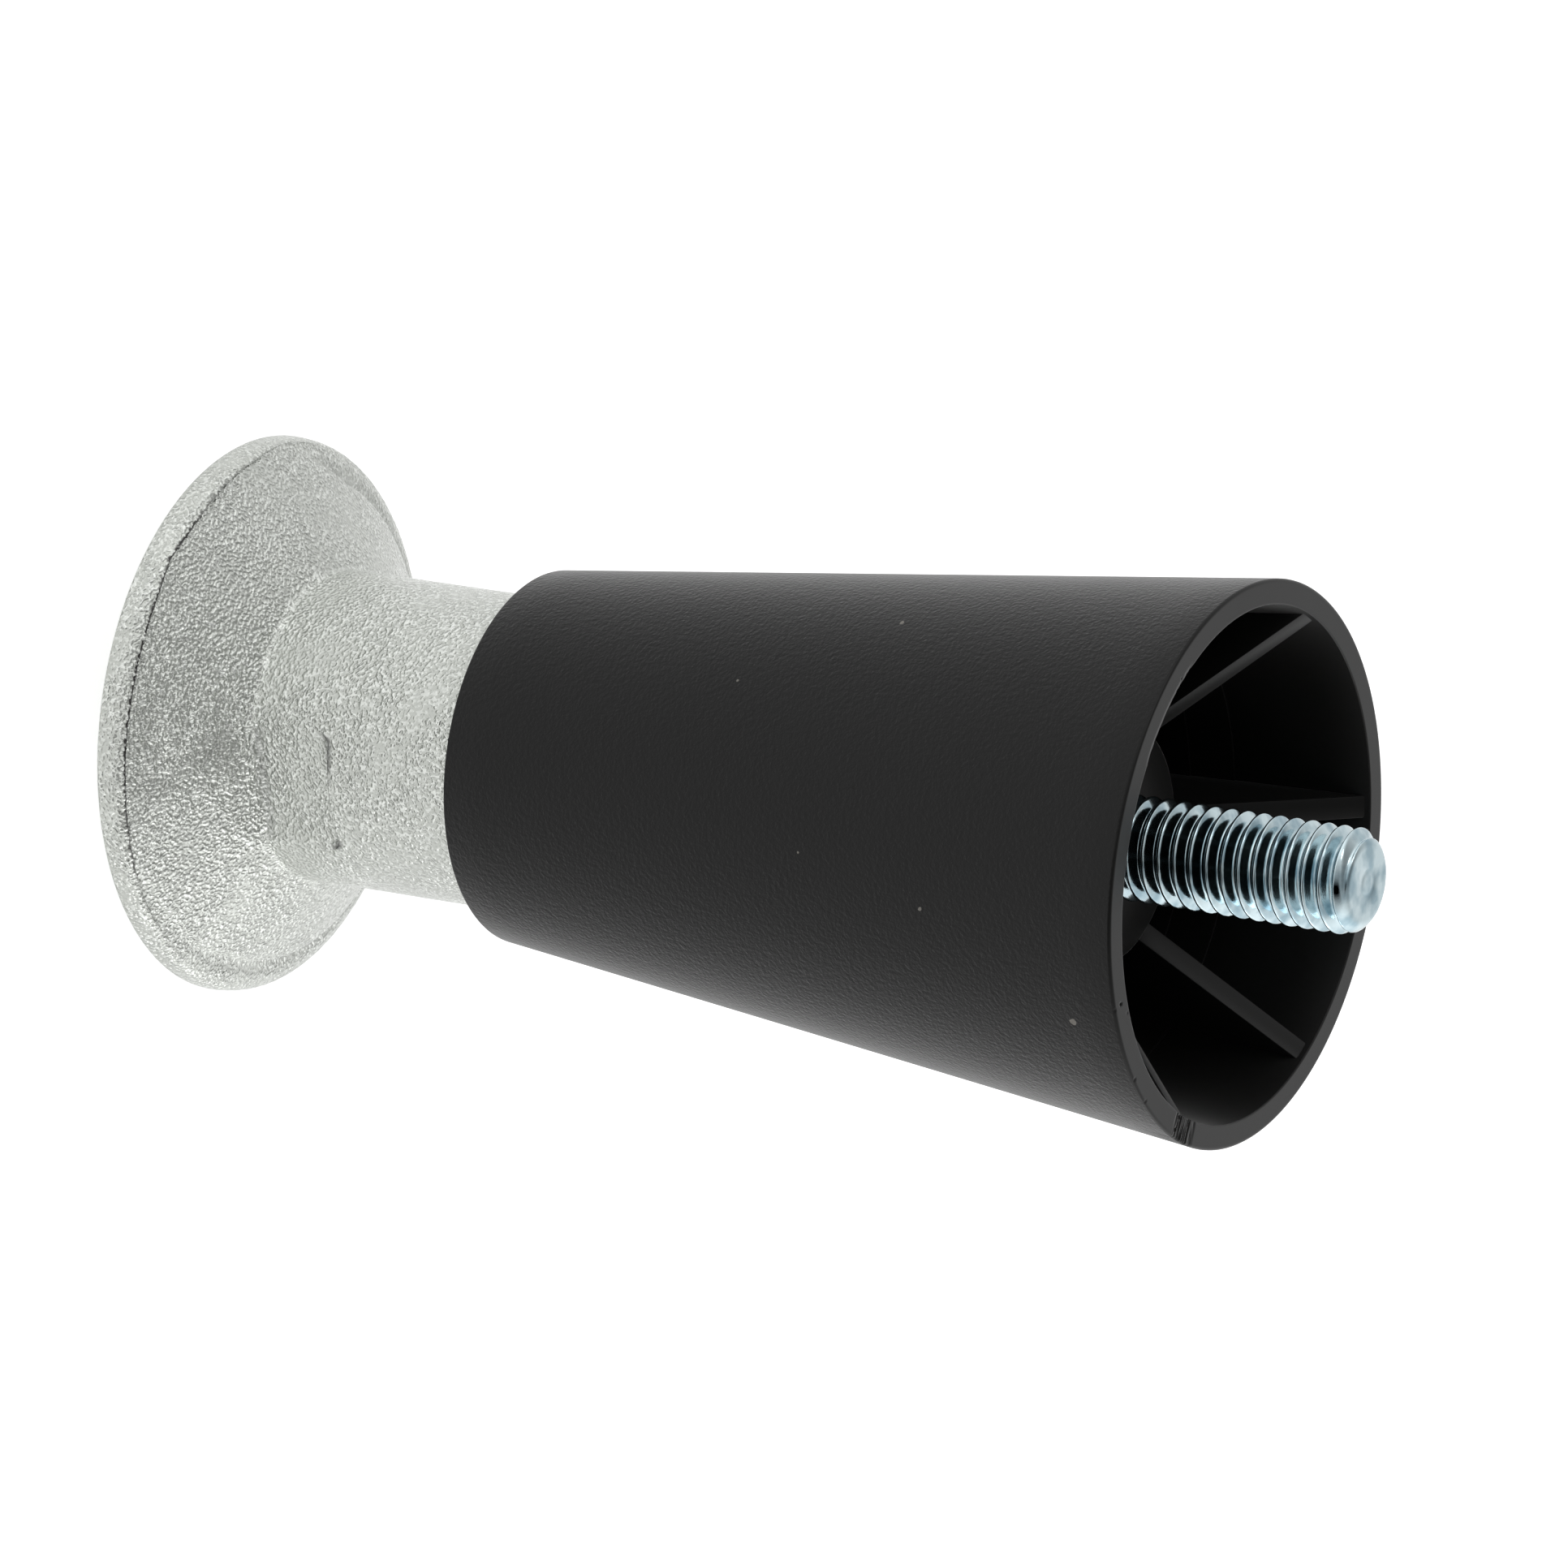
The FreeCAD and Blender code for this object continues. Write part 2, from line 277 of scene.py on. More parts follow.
# A closed skin round the z axis: profileAt gives one list of (radius, height) in millimetres for
# each angle. It runs from a point on the axis to another, or as a ring back to its own start
def turnedSkin(name, angles, profileAt, material, ring=False):
    profiles = [profileAt(angle) for angle in angles]
    if ring:
        profiles = [profile + profile[:1] for profile in profiles]
    rows = len(profiles[0])
    columns = len(angles)
    vertices = []
    for row in range(rows - 1 if ring else rows):
        onAxis = not ring and row in (0, rows - 1)
        for angle, profile in zip(angles[:1] if onAxis else angles, profiles):
            radius, height = profile[row]
            vertices.append((radius * mm * math.cos(angle), radius * mm * math.sin(angle), height * mm))
    starts = [row * columns for row in range(rows)]
    if ring:
        starts[-1] = 0
    else:
        starts = [0] + [1 + row * columns for row in range(rows - 1)]
    faces = []
    for low, high, row in zip(starts, starts[1:], range(rows)):
        for k in range(columns):
            after = (k + 1) % columns
            if not ring and row == 0:
                faces.append((0, high + after, high + k))
            elif not ring and row == rows - 2:
                faces.append((low + k, low + after, high))
            else:
                faces.append((low + k, low + after, high + after, high + k))
    mesh = bpy.data.meshes.new(name)
    mesh.from_pydata(vertices, [], faces)
    mesh.polygons.foreach_set("use_smooth", [True] * len(faces))
    mesh.materials.append(material)
    mesh.update()
    piece = bpy.data.objects.new(name, mesh)
    bpy.context.scene.collection.objects.link(piece)
    return piece


def evenAngles(columns):
    return [turn * k / columns for k in range(columns)]


# One number for each vertex, which its material reads by name
def paint(piece, name, valueAt):
    mesh = piece.data
    layer = mesh.attributes.new(name, "FLOAT", "POINT")
    layer.data.foreach_set("value", [valueAt(*(vertex.co / mm)) for vertex in mesh.vertices])


# Line through (radius, height, rounding) corners, each corner rounded with a short arc
def roundedLine(corners, steps=4):
    result = []
    for k, (radius, height, rounding) in enumerate(corners):
        if not rounding:
            result.append((radius, height))
            continue
        here = Vector((radius, height))
        back = (Vector(corners[k - 1][:2]) - here).normalized()
        ahead = (Vector(corners[k + 1][:2]) - here).normalized()
        half = back.angle(ahead) / 2
        centre = here + (back + ahead).normalized() * (rounding / math.sin(half))
        first = here + back * (rounding / math.tan(half)) - centre
        last = here + ahead * (rounding / math.tan(half)) - centre
        for step in range(steps + 1):
            result.append(tuple(centre + first.normalized().slerp(last.normalized(), step / steps) * rounding))
    return result


# Points of a profile, with its long stretches divided into steps of at most the given size
def divided(points, step):
    result = [points[0]]
    for (r0, z0), (r1, z1) in zip(points, points[1:]):
        count = max(1, math.ceil(math.hypot(r1 - r0, z1 - z0) / step))
        result += [(mix(r0, r1, k / count), mix(z0, z1, k / count)) for k in range(1, count + 1)]
    return result


def arc(centre, radius, fromDegrees, toDegrees, count):
    result = []
    for k in range(count + 1):
        angle = math.radians(mix(fromDegrees, toDegrees, k / count))
        result.append((centre[0] + radius * math.cos(angle), centre[1] + radius * math.sin(angle)))
    return result


# Mounting bolt: 3/8 inch, sixteen threads to the inch, hexagon head held under the boss
bolt = {
    "columns": 144,
    "rowsPerPitch": 22,
    "pitch": 1.5875,
    "crest": 4.7625,
    "threadDepth": 0.97,
    "crestFlat": 0.2,
    "easing": 0.07,           # rounding of crests and roots, as rolled
    "headBottom": 78.775,
    "seat": 84.725,
    "acrossFlats": 14.29,
    "threadStart": 89.6,
    "tip": 116.475,
    "tipRadius": 3.45,
    "bevel": 1.25,
}


def softMin(a, b, ease):
    gap = max(0.0, ease - abs(a - b)) / ease
    return min(a, b) - gap * gap * ease / 4


def threadRadius(height, angle):
    along = (height / bolt["pitch"] - angle / turn) % 1.0
    fromCrest = min(along, 1 - along) * bolt["pitch"]
    slope = 1 / math.tan(math.radians(30))
    flank = bolt["crest"] - (fromCrest - bolt["crestFlat"] / 2) * slope
    radius = softMin(flank, bolt["crest"], bolt["easing"])
    root = bolt["crest"] - bolt["threadDepth"]
    radius = -softMin(-radius, -root, bolt["easing"] * 3)
    toTip = bolt["tip"] - height
    envelope = bolt["tipRadius"] + (bolt["crest"] + 0.05 - bolt["tipRadius"]) * min(1.0, toTip / bolt["bevel"]) ** 0.6
    return softMin(radius, envelope, 0.1)


def boltProfile(angle):
    inscribed = bolt["acrossFlats"] / 2
    across = inscribed / math.cos((angle + math.radians(30)) % math.radians(60) - math.radians(30))
    chamferTop = bolt["headBottom"] + (across - inscribed) * math.tan(math.radians(30)) + 0.02
    profile = [(0, bolt["headBottom"]), (inscribed * 0.6, bolt["headBottom"]), (inscribed - 0.3, bolt["headBottom"])]
    profile += [(inscribed - 0.02, bolt["headBottom"]), (across - 0.02, chamferTop)]
    profile += [(across, chamferTop + 0.15), (across, bolt["seat"] - 0.1), (across - 0.1, bolt["seat"])]
    profile += [(5.4, bolt["seat"]), (4.9, bolt["seat"] + 0.15), (4.6, bolt["seat"] + 0.6), (4.6, bolt["threadStart"] - 0.4)]
    count = round((bolt["tip"] - bolt["threadStart"]) / bolt["pitch"] * bolt["rowsPerPitch"])
    for k in range(count + 1):
        height = mix(bolt["threadStart"], bolt["tip"], k / count)
        profile.append((threadRadius(height, angle), height))
    profile += [(bolt["tipRadius"] - 0.25, bolt["tip"]), (2.4, bolt["tip"]), (1.35, bolt["tip"] - 0.01)]
    profile += [(1.15, bolt["tip"] - 0.09), (0.95, bolt["tip"] - 0.02), (0.4, bolt["tip"] - 0.01), (0, bolt["tip"] - 0.01)]
    return profile


# Body: tapered shell, flat rim, six ribs from the boss to the wall, pockets, guide and bores
body = {
    "coarseDegrees": 1.5,
    "fineDegrees": 0.25,
    "fineParts": ((-46, -14), (-8, 9), (-124, -113)),   # where the rim has marks
    "corners": (
        # radius, height, rounding
        (15.08, 31.75, 0),
        (17.2, 31.75, 0.3),
        (25.4, 104.775, 0.25),
        (23.1, 104.775, 0.12),
        (21.642, 91.775, 0),
        (21.442, 91.775, 0),
        (20.97, 87.575, 0),
        (20.77, 87.575, 0),
        (17.535, 58.775, 0.6),
        (15.536, 58.775, 0.3),
        (15.38, 81.075, 1.0),
        (10.873, 81.075, 1.0),
        (10.8, 91.575, 0.4),
        (4.6, 91.575, 0.1),
        (4.6, 84.725, 0),
    ),
    "boltFlats": 14.29,
    "boltPocket": (84.725, 78.275),
    "bores": ((12.78, 78.275), (12.78, 52.225), (14.58, 52.225), (14.58, 32.25)),
    "rimHeight": 104.775,
    "ribHalf": 1.0,           # half thickness at the rim's height, with draft below
    "ribDraft": 0.00698,
    "ribFoot": 58.3,
    "ribFrom": 10.2,
    "ribTo": 23.35,
    "ribRound": 0.12,
    "marks": (
        # radius and angle of a nick in the rim, its size across and depth in mm
        (24.26, -43.3, 0.42, 0.14),
        (23.5, -39.9, 0.26, 0.05),
        (25.3, -43.1, 0.3, 0.08),
        (25.1, -24.9, 0.36, 0.07),
        (25.12, -17.7, 0.36, 0.06),
        (23.45, -1.5, 0.5, 0.25),
        (24.67, -1.8, 0.5, 0.25),
        (25.4, -131.2, 0.4, 0.12),
        (23.55, -116.7, 0.28, 0.08),
        (25.1, 84.8, 0.5, 0.16),
    ),
    "gate": (-3.6, 6.4),      # degrees: the gate was cut off here and the saw left radial streaks
    "gateDepth": 0.1,
    "scraped": (-123, -95),   # degrees: the rim's inner edge was scraped with a knife here
    "scrapeDepth": 0.08,
}


def bodyAngles():
    angles = []
    degrees = -180.0
    while degrees < 180 - 1e-6:
        angles.append(math.radians(degrees))
        fine = any(low <= degrees < high for low, high in body["fineParts"])
        degrees += body["fineDegrees"] if fine else body["coarseDegrees"]
    return angles


def bodyProfile(angle):
    line = roundedLine(body["corners"])
    flats = body["boltFlats"] / 2 / math.cos((angle + math.radians(30)) % math.radians(60) - math.radians(30))
    line += [(flats, height) for height in body["boltPocket"]]
    line += body["bores"]
    rows = []
    for (r0, z0), (r1, z1) in zip(line, line[1:]):
        rows.append((r0, z0))
        onRim = min(z0, z1) > body["rimHeight"] - 0.02 and abs(r1 - r0) > 1
        count = 16 if onRim else max(1, round(math.hypot(r1 - r0, z1 - z0) / 4)) if min(z0, z1) > 31.8 else 1
        rows += [(mix(r0, r1, k / count), mix(z0, z1, k / count)) for k in range(1, count)]
    rows.append(line[-1])
    return rows


# The rim's nicks, the gate's streaks and the scraped inner edge only ever take material away
def markRim(piece):
    mesh = piece.data
    rim = body["rimHeight"]
    scars = [0.0] * len(mesh.vertices)
    normals = [vertex.normal.copy() for vertex in mesh.vertices]
    for vertex in mesh.vertices:
        x, y, z = vertex.co / mm
        if z < rim - 1.2:
            continue
        radius = math.hypot(x, y)
        if radius < 22:
            continue
        degrees = math.degrees(math.atan2(y, x))
        sink = 0.0
        for markRadius, markDegrees, across, depth in body["marks"]:
            there = math.radians(markDegrees)
            spot = Vector((markRadius * math.cos(there), markRadius * math.sin(there), rim))
            away = (Vector((x, y, z)) - spot).length / (across / 2) + 0.5 * noise.noise(Vector((x, y, z)) / 0.15)
            cut = smooth(1.25 - away)
            sink = max(sink, depth * cut)
            scars[vertex.index] = max(scars[vertex.index], cut * min(1, depth / 0.14))
        low, high = body["gate"]
        inGate = smooth((degrees - low) / 0.6) * smooth((high - degrees) / 0.6) * smooth((z - rim + 0.35) / 0.2)
        if inGate:
            streak = noise.noise(Vector((degrees * 1.9, radius * 0.25, 3))) + 0.6 * noise.noise(Vector((degrees * 5, radius * 0.6, 8)))
            sink = max(sink, inGate * body["gateDepth"] * (0.45 + streak))
            scars[vertex.index] = max(scars[vertex.index], inGate * smooth(-2.2 * streak - 0.1) * 0.55)
        low, high = body["scraped"]
        inScrape = smooth((degrees - low) / 3) * smooth((high - degrees) / 3) * smooth((23.5 - radius) / 0.25)
        if inScrape:
            streak = noise.noise(Vector((degrees * 0.8, z * 3, 5)))
            sink = max(sink, inScrape * body["scrapeDepth"] * (0.8 + 0.6 * streak) * smooth((z - rim + 0.5) / 0.3))
        vertex.co -= normals[vertex.index] * max(0.0, sink) * mm
    layer = mesh.attributes.new("scar", "FLOAT", "POINT")
    layer.data.foreach_set("value", scars)
    mesh.update()


# One rib on the +X side, from inside the boss to inside the wall, turned to its place
def addRib(shell, angle):
    wide = body["ribRound"]
    stations = [body["ribFrom"], 10.8] + [mix(10.8, body["ribTo"], k / 14) for k in range(1, 15)]
    rings = []
    for x in stations:
        top = 91.575 + 1.0325 * (x - 10.8)
        foot = max(body["ribFoot"], 104.58 - (23.4 - x) / 0.11229)
        top = max(top, 91.575 - 0.3) if x < 10.8 else top
        half = body["ribHalf"] + (106.65 - top) * body["ribDraft"]
        low = body["ribHalf"] + (106.65 - foot) * body["ribDraft"]
        side = [(low, foot), (half, max(foot + 0.05, top - wide)), (half - 0.3 * wide, top - 0.3 * wide), (half - wide, top)]
        outline = side + [(-y, z) for y, z in reversed(side)]
        rings.append([shell.verts.new((x * mm, y * mm, z * mm)) for y, z in outline])
    for before, after in zip(rings, rings[1:]):
        for k in range(8):
            shell.faces.new((before[k], after[k], after[(k + 1) % 8], before[(k + 1) % 8]))
    shell.faces.new(rings[0])
    shell.faces.new(rings[-1][::-1])
    moved = [vert for ring in rings for vert in ring]
    bmesh.ops.rotate(shell, cent=(0, 0, 0), matrix=Matrix.Rotation(angle, 3, "Z"), verts=moved)


def mouldedBody():
    piece = turnedSkin("mouldedBody", bodyAngles(), bodyProfile, nylonMaterial, ring=True)
    markRim(piece)
    shell = bmesh.new()
    shell.from_mesh(piece.data)
    for k in range(6):
        addRib(shell, turn * k / 6)
    bmesh.ops.recalc_face_normals(shell, faces=shell.faces)
    for face in shell.faces:
        face.smooth = True
    shell.to_mesh(piece.data)
    shell.free()
    paint(piece, "outside", lambda x, y, z: smooth((math.hypot(x, y) - wallRadius(z) + 0.3) / 0.2) * smooth((104.7 - z) / 0.3))
    piece.data.set_sharp_from_angle(angle=math.radians(38))
    return piece


# Foot: one casting, flange, stem with two wrench flats, threaded shank, hollow from below
foot = {
    "columns": 400,
    "step": 0.4,              # row spacing where the lacquer shows
    "hiddenStep": 1.2,        # and where the body's guide hides it
    "guideMouth": 33.0,
    "stemRadius": 14.5,
    "flangeRadius": 26.0,
    "edgeTop": 2.95,
    "edgeWide": 1.5,          # the flange's upper edge is a quarter of an ellipse
    "edgeHigh": 2.3,
    "coneFoot": (25.05, 2.5),
    "stepLine": (
        # the die's parting step round the near side: degrees, radius, how plain the step is, how dark its painted shade
        # line is
        (-176, 25.5, 0.0, 0.0),
        (-158, 25.6, 0.7, 0.0),
        (-140, 25.15, 1.0, 0.25),
        (-123, 24.95, 1.0, 0.6),
        (-116, 24.95, 1.0, 1.0),
        (-107, 25.2, 1.0, 1.0),
        (-97, 24.95, 1.0, 1.0),
        (-80, 24.97, 1.0, 1.0),
        (-60, 25.1, 1.0, 1.0),
        (-42, 25.2, 0.9, 0.8),
        (-34, 25.3, 0.7, 0.3),
        (-15, 25.2, 0.4, 0.1),
        (10, 25.1, 0.0, 0.0),
    ),
    "coneTop": 9.1,
    "stemTop": 45.275,
    "shankRadius": 12.7,
    "shankTop": 71.325,
    "holeRadius": 8.5,
    "holeTop": 64.325,
    "landInner": 20.0,
    "recess": 0.8,
    "flatDistance": 13.25,
    "flatTop": 17.5,
    "flatCorner": 1.6,
    "flatTurn": -50.0,
    "shankPitch": 3.175,
    "shankDepth": 1.7,
    "uneven": {"wormMm": 0.75, "wormDepthMm": 0.03, "slowMm": 7.0, "slowDepthMm": 0.06},
}


def flatAt(angle):
    # radius of the wrench flat and height of its end wall at this angle
    aside = (angle - math.radians(foot["flatTurn"]) + math.pi / 2) % math.pi - math.pi / 2
    reach = foot["flatDistance"] / math.cos(aside)
    halfWidth = math.sqrt(foot["stemRadius"] ** 2 - foot["flatDistance"] ** 2) + 0.15
    across = abs(foot["flatDistance"] * math.tan(aside))
    corner = foot["flatCorner"]
    drop = 0.0
    if across > halfWidth - corner:
        past = min(corner, across - halfWidth + corner)
        drop = corner - math.sqrt(corner ** 2 - past ** 2)
    return min(foot["stemRadius"], reach), foot["flatTop"] - drop


def shankThread(height, angle):
    along = (height / foot["shankPitch"] - angle / turn) % 1.0
    fromCrest = min(along, 1 - along) * foot["shankPitch"]
    flank = foot["shankRadius"] - (fromCrest - 0.25) * 1.45
    radius = softMin(flank, foot["shankRadius"] - 0.02, 0.1)
    root = foot["shankRadius"] - foot["shankDepth"]
    return -softMin(-radius, -root, 0.3)


def edgeHeight(radius):
    # top of the flange's rounded edge
    past = min(1.0, max(0.0, (radius - foot["flangeRadius"]) / foot["edgeWide"] + 1))
    return foot["edgeTop"] - foot["edgeHigh"] * (1 - math.sqrt(1 - past * past))


def coneHeight(radius):
    footRadius, footHeight = foot["coneFoot"]
    rise = (foot["coneTop"] - footHeight) / (footRadius - foot["stemRadius"])
    return foot["coneTop"] - rise * (radius - foot["stemRadius"])


def stepAt(angle):
    # radius of the parting step at this angle, how plain it is and how dark its painted shade is
    degrees = math.degrees(angle) - 360 if math.degrees(angle) > 180 else math.degrees(angle)
    line = foot["stepLine"]
    if not line[0][0] < degrees < line[-1][0]:
        return 25.2, 0.0, 0.0
    for before, after in zip(line, line[1:]):
        if degrees <= after[0]:
            t = smooth((degrees - before[0]) / (after[0] - before[0]))
            radius, plain, shadeAmount = [mix(a, b, t) for a, b in zip(before[1:], after[1:])]
            return radius + 0.07 * noise.noise(Vector((degrees * 0.35, 0, 0))), plain, shadeAmount


def footProfile(angle):
    step = foot["step"]
    edge = foot["flangeRadius"]
    profile = [(0, foot["holeTop"]), (4.0, foot["holeTop"])] + arc((4.05, 60.3), 4.0, 90, 0, 5)
    profile += [(8.2, 40), (8.4, 15), (foot["holeRadius"], foot["recess"] + 0.3), (foot["holeRadius"] + 0.3, foot["recess"])]
    profile += [(15, foot["recess"]), (foot["landInner"] - 0.4, foot["recess"]), (foot["landInner"] - 0.1, foot["recess"] - 0.12)]
    profile += [(foot["landInner"], foot["recess"] - 0.4), (foot["landInner"] + 0.05, 0.05), (foot["landInner"] + 0.2, 0)]
    profile += [(23.0, 0)] + arc((edge - 0.5, 0.5), 0.5, -90, 0, 4)
    line, plain, shadeAmount = stepAt(angle)
    profile += divided([(edge, 0.5), (edge, foot["edgeTop"] - foot["edgeHigh"])], step)[1:]
    for k in range(1, 11):
        radius = mix(edge, line, math.sin(k / 10 * math.pi / 2))
        merged = softMin(coneHeight(radius), edgeHeight(radius), 0.3)
        profile.append((radius, mix(merged, edgeHeight(radius), plain)))
    slope = mix(0.5, 0.05, plain)
    for k in (0.5, 1.0, 2.4, 4.5):
        radius = line - slope * k
        merged = softMin(coneHeight(radius), edgeHeight(radius), 0.3)
        profile.append((radius, merged - (0.07 * plain if k in (1.0, 2.4) else 0)))
    flatRadius, flatTop = flatAt(angle)
    rise = coneHeight(0) - coneHeight(1)
    meet = coneHeight(flatRadius)
    rows = math.ceil(12.3 / step)
    start = profile[-1][0]
    for k in range(1, rows + 1):
        radius = mix(start, flatRadius + 0.35, k / rows)
        profile.append((radius, softMin(coneHeight(radius), edgeHeight(radius) + max(0, 24.5 - radius), 0.3)))
    profile += [(flatRadius + 0.13, meet - 0.02), (flatRadius + 0.02, meet + 0.2)]
    rows = math.ceil(8.5 / step)
    profile += [(flatRadius, mix(meet + 0.3, flatTop, k / rows)) for k in range(0, rows + 1)]
    profile += [(mix(flatRadius, foot["stemRadius"], k / 3), flatTop + 0.02 * k) for k in range(1, 4)]
    stem = foot["stemRadius"]
    rows = math.ceil((foot["guideMouth"] - foot["flatTop"]) / step)
    profile += [(stem, mix(flatTop + 0.2, foot["guideMouth"], k / rows)) for k in range(rows + 1)]
    profile += divided([(stem, foot["guideMouth"]), (stem, foot["stemTop"] - 0.6)], foot["hiddenStep"])[1:]
    profile += [(foot["stemRadius"] - 0.6, foot["stemTop"]), (12.2, foot["stemTop"]), (11.6, foot["stemTop"] + 0.4)]
    profile += [(11.3, foot["stemTop"] + 1.2), (11.2, foot["stemTop"] + 2.2)]
    threadLow = foot["stemTop"] + 2.4
    threadHigh = foot["shankTop"] - 1.3
    rows = round((threadHigh - threadLow) / foot["shankPitch"] * 7)
    for k in range(rows + 1):
        height = mix(threadLow, threadHigh, k / rows)
        lead = mix(11.1, 12.9, smooth((height - threadLow) / 1.2))
        profile.append((softMin(shankThread(height, angle), lead, 0.1), height))
    profile += [(11.4, foot["shankTop"] - 0.05), (11.2, foot["shankTop"]), (6, foot["shankTop"]), (0, foot["shankTop"])]
    return profile


# The casting and its thick lacquer aren't quite even: the skin sinks a little in places, and
# it never swells, so the stem stays clear of its guide
def unevenLacquer(piece, settings):
    mesh = piece.data
    moves = []
    for vertex in mesh.vertices:
        x, y, z = vertex.co / mm
        radius = math.hypot(x, y)
        shown = smooth((z - 0.2) / 0.6) * smooth((foot["stemTop"] - 0.3 - z) / 0.6) * smooth((radius - 11.5) / 0.8)
        if shown > 0:
            worm = abs(noise.noise(Vector((x, y, z)) / settings["wormMm"]))
            slow = noise.noise(Vector((x, y, z + 50)) / settings["slowMm"])
            sink = settings["wormDepthMm"] * min(1.0, worm * 3) + settings["slowDepthMm"] * (0.5 + 0.5 * slow)
            moves.append((vertex.index, vertex.normal * sink * shown * mm))
    for index, move in moves:
        mesh.vertices[index].co -= move
    mesh.update()


# Painted shade in the corners: dark under the end walls and along the roots of the wrench flats
def flatShade(x, y, z):
    angle = math.atan2(y, x)
    radius = math.hypot(x, y)
    flatRadius, flatTop = flatAt(angle)
    if flatRadius > foot["stemRadius"] - 0.06 or radius > foot["stemRadius"] + 0.6:
        return 0.0
    ragged = 0.5 + 0.5 * noise.noise(Vector((x, y, z)) / 0.5)
    aside = math.degrees((angle - math.radians(foot["flatTurn"]) + math.pi / 2) % math.pi - math.pi / 2)
    often = mix(0.95, 0.25, smooth((aside + 16) / 16) * smooth((21 - aside) / 3))
    wall = smooth(1.5 - abs(z - flatTop + 0.05) / 0.3) * smooth(2.2 * ragged * often - 0.2) * 0.85
    root = smooth(1.4 - abs(z - 9.9) / 0.4) * 0.4 * ragged
    return max(wall, root)


nylonMaterial = mouldedNylon()
zincMaterial = zincPlatedSteel()
lacquerMaterial = wrinkledLacquer()
print("materials made")

boltPiece = turnedSkin("threadedBolt", evenAngles(bolt["columns"]), boltProfile, zincMaterial)
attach(boltPiece, "leg")
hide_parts("mounting_bolt")
print("bolt made,", len(boltPiece.data.polygons), "faces")

footPiece = turnedSkin("castFoot", evenAngles(foot["columns"]), footProfile, lacquerMaterial)
# painted shade in the corners of the wrench flats
paint(footPiece, "paintedShade", flatShade)
paint(footPiece, "fromStep", lambda x, y, z: math.hypot(x, y) - stepAt(math.atan2(y, x))[0])
# painted shade along the parting step, on the near side
paint(footPiece, "stepShade", lambda x, y, z: stepAt(math.atan2(y, x))[2] * smooth((z - 1.2) / 0.5))
unevenLacquer(footPiece, foot["uneven"])
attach(footPiece, "foot")
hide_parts("foot")
print("foot made,", len(footPiece.data.polygons), "faces")

bodyPiece = mouldedBody()
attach(bodyPiece, "leg")
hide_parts("leg_body")
print("body made,", len(bodyPiece.data.polygons), "faces")

# Camera: a long lens from above the floor, rolled so that the leg lies along the picture
view = {
    "place": (0.180907, -0.787541, 0.513851),
    "right": (-0.25652, 0.43999, 0.860585),
    "up": (-0.946492, -0.294754, -0.131428),
    "back": (0.195834, -0.84825, 0.492057),
    "lens": 236.4,
}
lens = bpy.data.cameras.new("photoLens")
lens.lens = view["lens"]
lens.sensor_width = 36
lens.clip_start = 0.05
lens.clip_end = 20
photoCamera = bpy.data.objects.new("photoCamera", lens)
axes = Matrix((view["right"], view["up"], view["back"])).transposed().to_4x4()
photoCamera.matrix_world = Matrix.Translation(view["place"]) @ axes
bpy.context.scene.collection.objects.link(photoCamera)
bpy.context.scene.camera = photoCamera
bpy.context.scene.view_settings.view_transform = "Standard"

# Studio: a white floor under broad soft light from all round, a little brighter below and high in
# front, darker by the mouth and round the lens, with two soft lamps above the leg and one below it
studio = {
    "floorSize": 6.0,
    "floorHeight": -10.0,     # mm, just below the flange when the foot is screwed right out
    "floorColour": "#f2f2f2",
    "floorGlow": 0.62,        # seen by the camera alone, so the floor is white and keeps a faint shadow
    "floorGlint": 0.4,       # the same white in the reflections of the metal
    "allRound": 0.88,
    "lobes": (
        # direction in picture terms (right, up, back), cosines where it starts and is full, strength
        ("below", (0.0, -1.0, 0.0), 0.0, 0.9, 0.62),
        ("darkByMouth", (0.83, -0.1, 0.54), 0.3, 0.97, -0.6),
        ("frontHigh", (0.0, 0.5, 0.87), 0.3, 0.9, 0.6),
        ("darkUnderLens", (0.0, -0.63, 0.78), 0.7, 0.97, -0.62),
        ("darkRoundLens", (0.0, 0.0, 1.0), 0.6, 0.97, -0.5),
    ),
    "lamps": (
        # name, direction in picture terms, distance, size, brightness
        ("highLeftLamp", (-0.5, 0.8, 0.55), 0.9, 0.2, 2.2),
        ("highRightLamp", (0.7, 0.55, 0.6), 0.9, 0.2, 2.4),
        ("lowLamp", (0.15, -0.95, -0.25), 0.9, 0.3, 2.2),
    ),
}


def fromPicture(right, up, back):
    way = Vector(view["right"]) * right + Vector(view["up"]) * up + Vector(view["back"]) * back
    return way.normalized()


floorMesh = bpy.data.meshes.new("floor")
half = studio["floorSize"] / 2
low = studio["floorHeight"] * mm
floorMesh.from_pydata([(-half, -half, low), (half, -half, low), (half, half, low), (-half, half, low)], [], [(0, 1, 2, 3)])
floorPiece = bpy.data.objects.new("floor", floorMesh)
bpy.context.scene.collection.objects.link(floorPiece)
floorMaterial, tree = newMaterial("paperSweep")
paths = addNode(tree, "ShaderNodeLightPath")
paper = addNode(tree, "ShaderNodeBsdfDiffuse", inputs={"Color": linear(studio["floorColour"])})
glow = addNode(tree, "ShaderNodeEmission", inputs={"Color": (1, 1, 1, 1), "Strength": studio["floorGlow"]})
glint = addNode(tree, "ShaderNodeMath", {"operation": "MULTIPLY"}, {
    0: paths.outputs["Is Glossy Ray"], 1: studio["floorGlint"]})
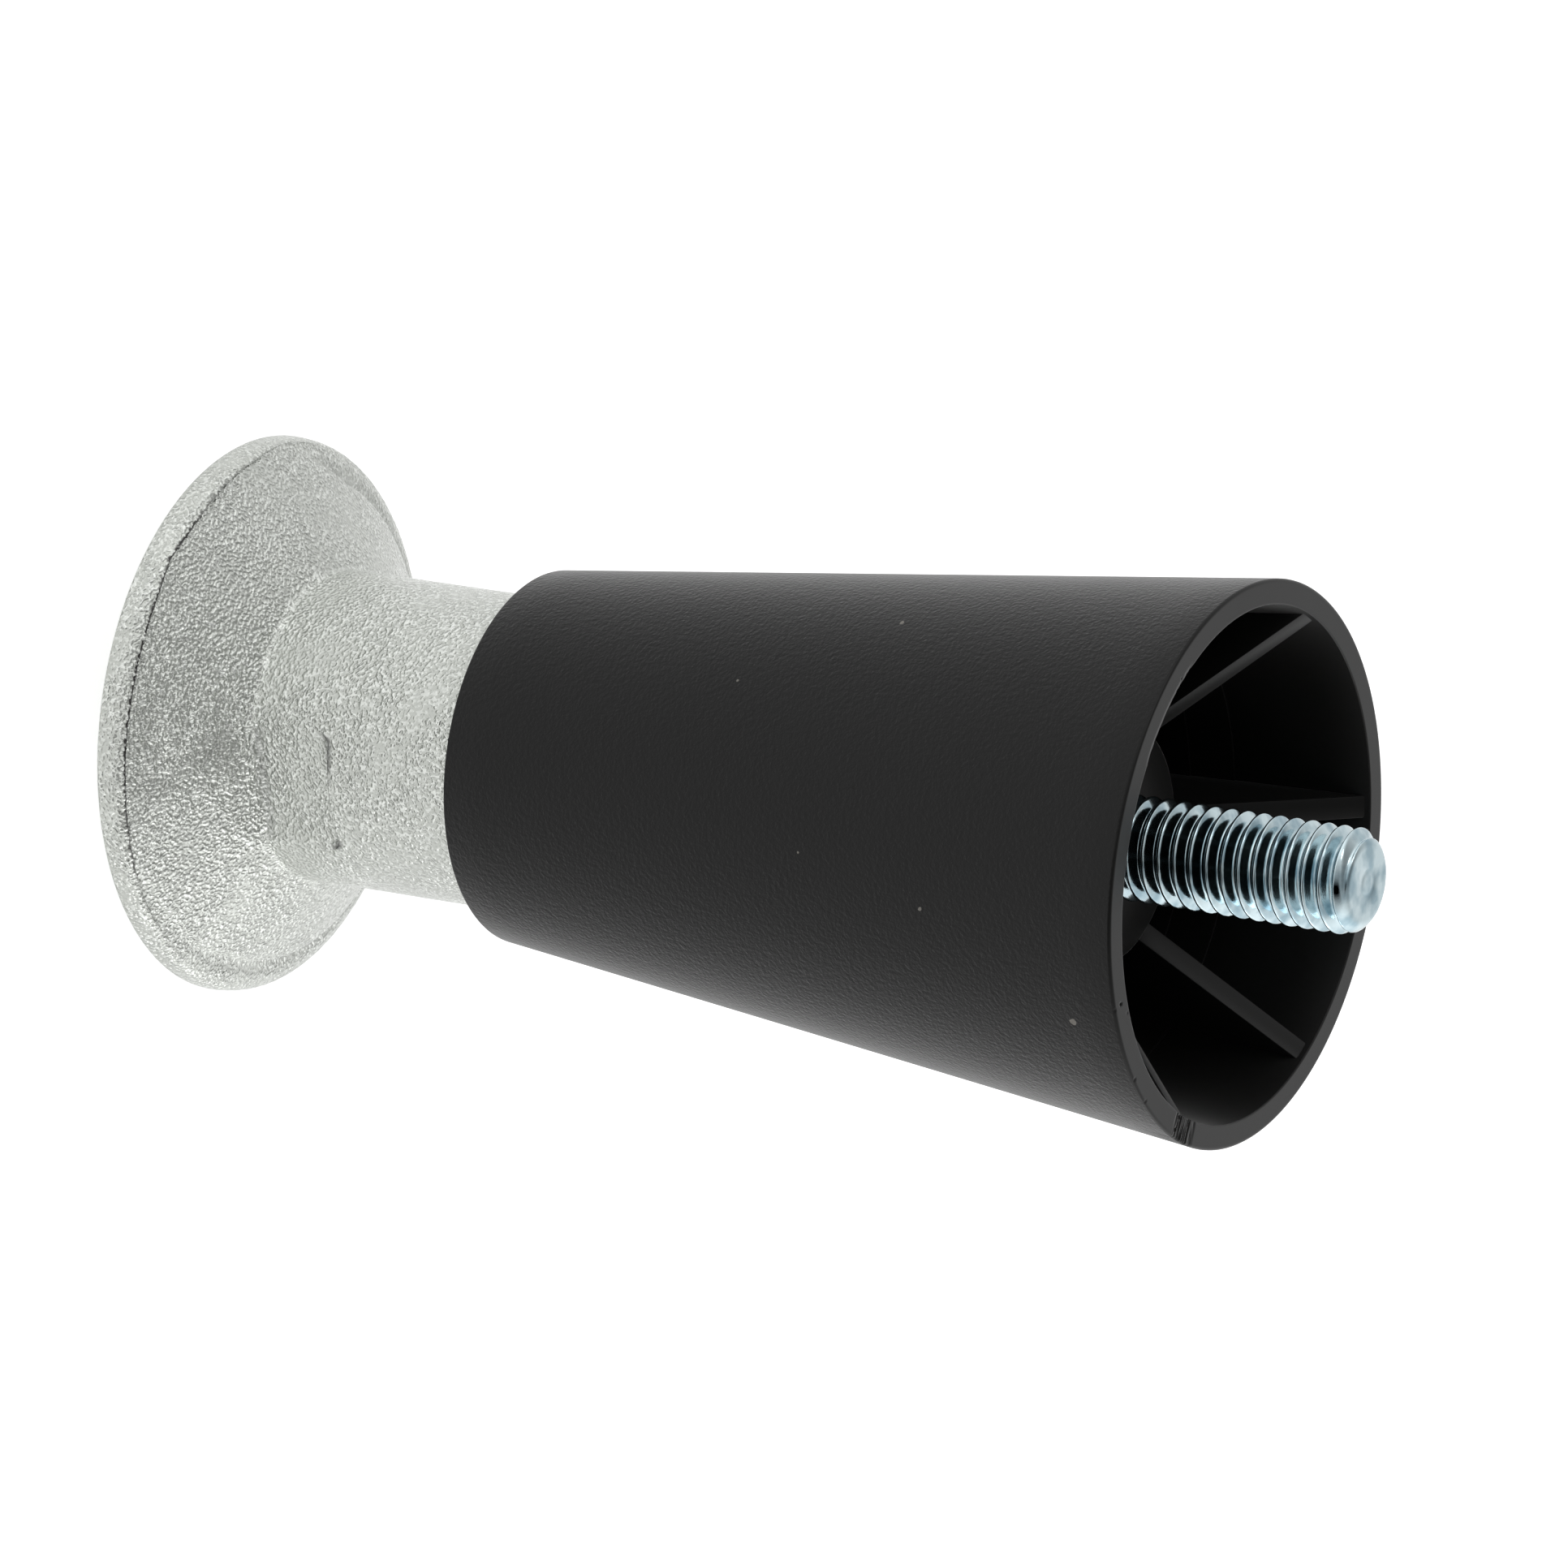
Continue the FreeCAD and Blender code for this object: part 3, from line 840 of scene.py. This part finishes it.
lit = addNode(tree, "ShaderNodeEmission", inputs={"Color": (1, 1, 1, 1), "Strength": glint.outputs[0]})
seen = addNode(tree, "ShaderNodeMixShader", inputs={0: paths.outputs["Is Camera Ray"], 1: lit.outputs[0], 2: glow.outputs[0]})
both = addNode(tree, "ShaderNodeAddShader", inputs={0: paper.outputs[0], 1: seen.outputs[0]})
addNode(tree, "ShaderNodeOutputMaterial", inputs={"Surface": both.outputs[0]})
floorMesh.materials.append(floorMaterial)

world = bpy.data.worlds.new("studioLight")
world.use_nodes = True
tree = world.node_tree
tree.nodes.clear()
bpy.context.scene.world = world
paths = addNode(tree, "ShaderNodeLightPath")
direction = addNode(tree, "ShaderNodeTexCoord").outputs["Generated"]
total = studio["allRound"]
for name, way, begin, full, strength in studio["lobes"]:
    facing = addNode(tree, "ShaderNodeVectorMath", {"operation": "DOT_PRODUCT"}, {
        0: direction, 1: fromPicture(*way)}, name)
    lobe = addNode(tree, "ShaderNodeMapRange", {"interpolation_type": "SMOOTHSTEP"}, {
        "Value": facing.outputs["Value"], "From Min": begin, "From Max": full, "To Max": strength})
    total = addNode(tree, "ShaderNodeMath", {"operation": "ADD"}, {0: lobe.outputs[0], 1: total}).outputs[0]
shown = addNode(tree, "ShaderNodeMix", {"data_type": "FLOAT"}, {
    0: paths.outputs["Is Camera Ray"], 2: total, 3: 1.0})
light = addNode(tree, "ShaderNodeBackground", inputs={"Color": (1, 1, 1, 1), "Strength": shown.outputs[0]})
addNode(tree, "ShaderNodeOutputWorld", inputs={"Surface": light.outputs[0]})

middle = Vector((0, 0, 0.06))
for name, way, distance, size, brightness in studio["lamps"]:
    way = fromPicture(*way)
    light = bpy.data.lights.new(name, "AREA")
    light.size = size
    light.energy = brightness * math.pi * size * size
    lamp = bpy.data.objects.new(name, light)
    lamp.matrix_world = Matrix.Translation(middle + way * distance) @ way.to_track_quat("Z", "Y").to_matrix().to_4x4()
    lamp.visible_camera = False
    bpy.context.scene.collection.objects.link(lamp)
print("camera, floor and lamps made")
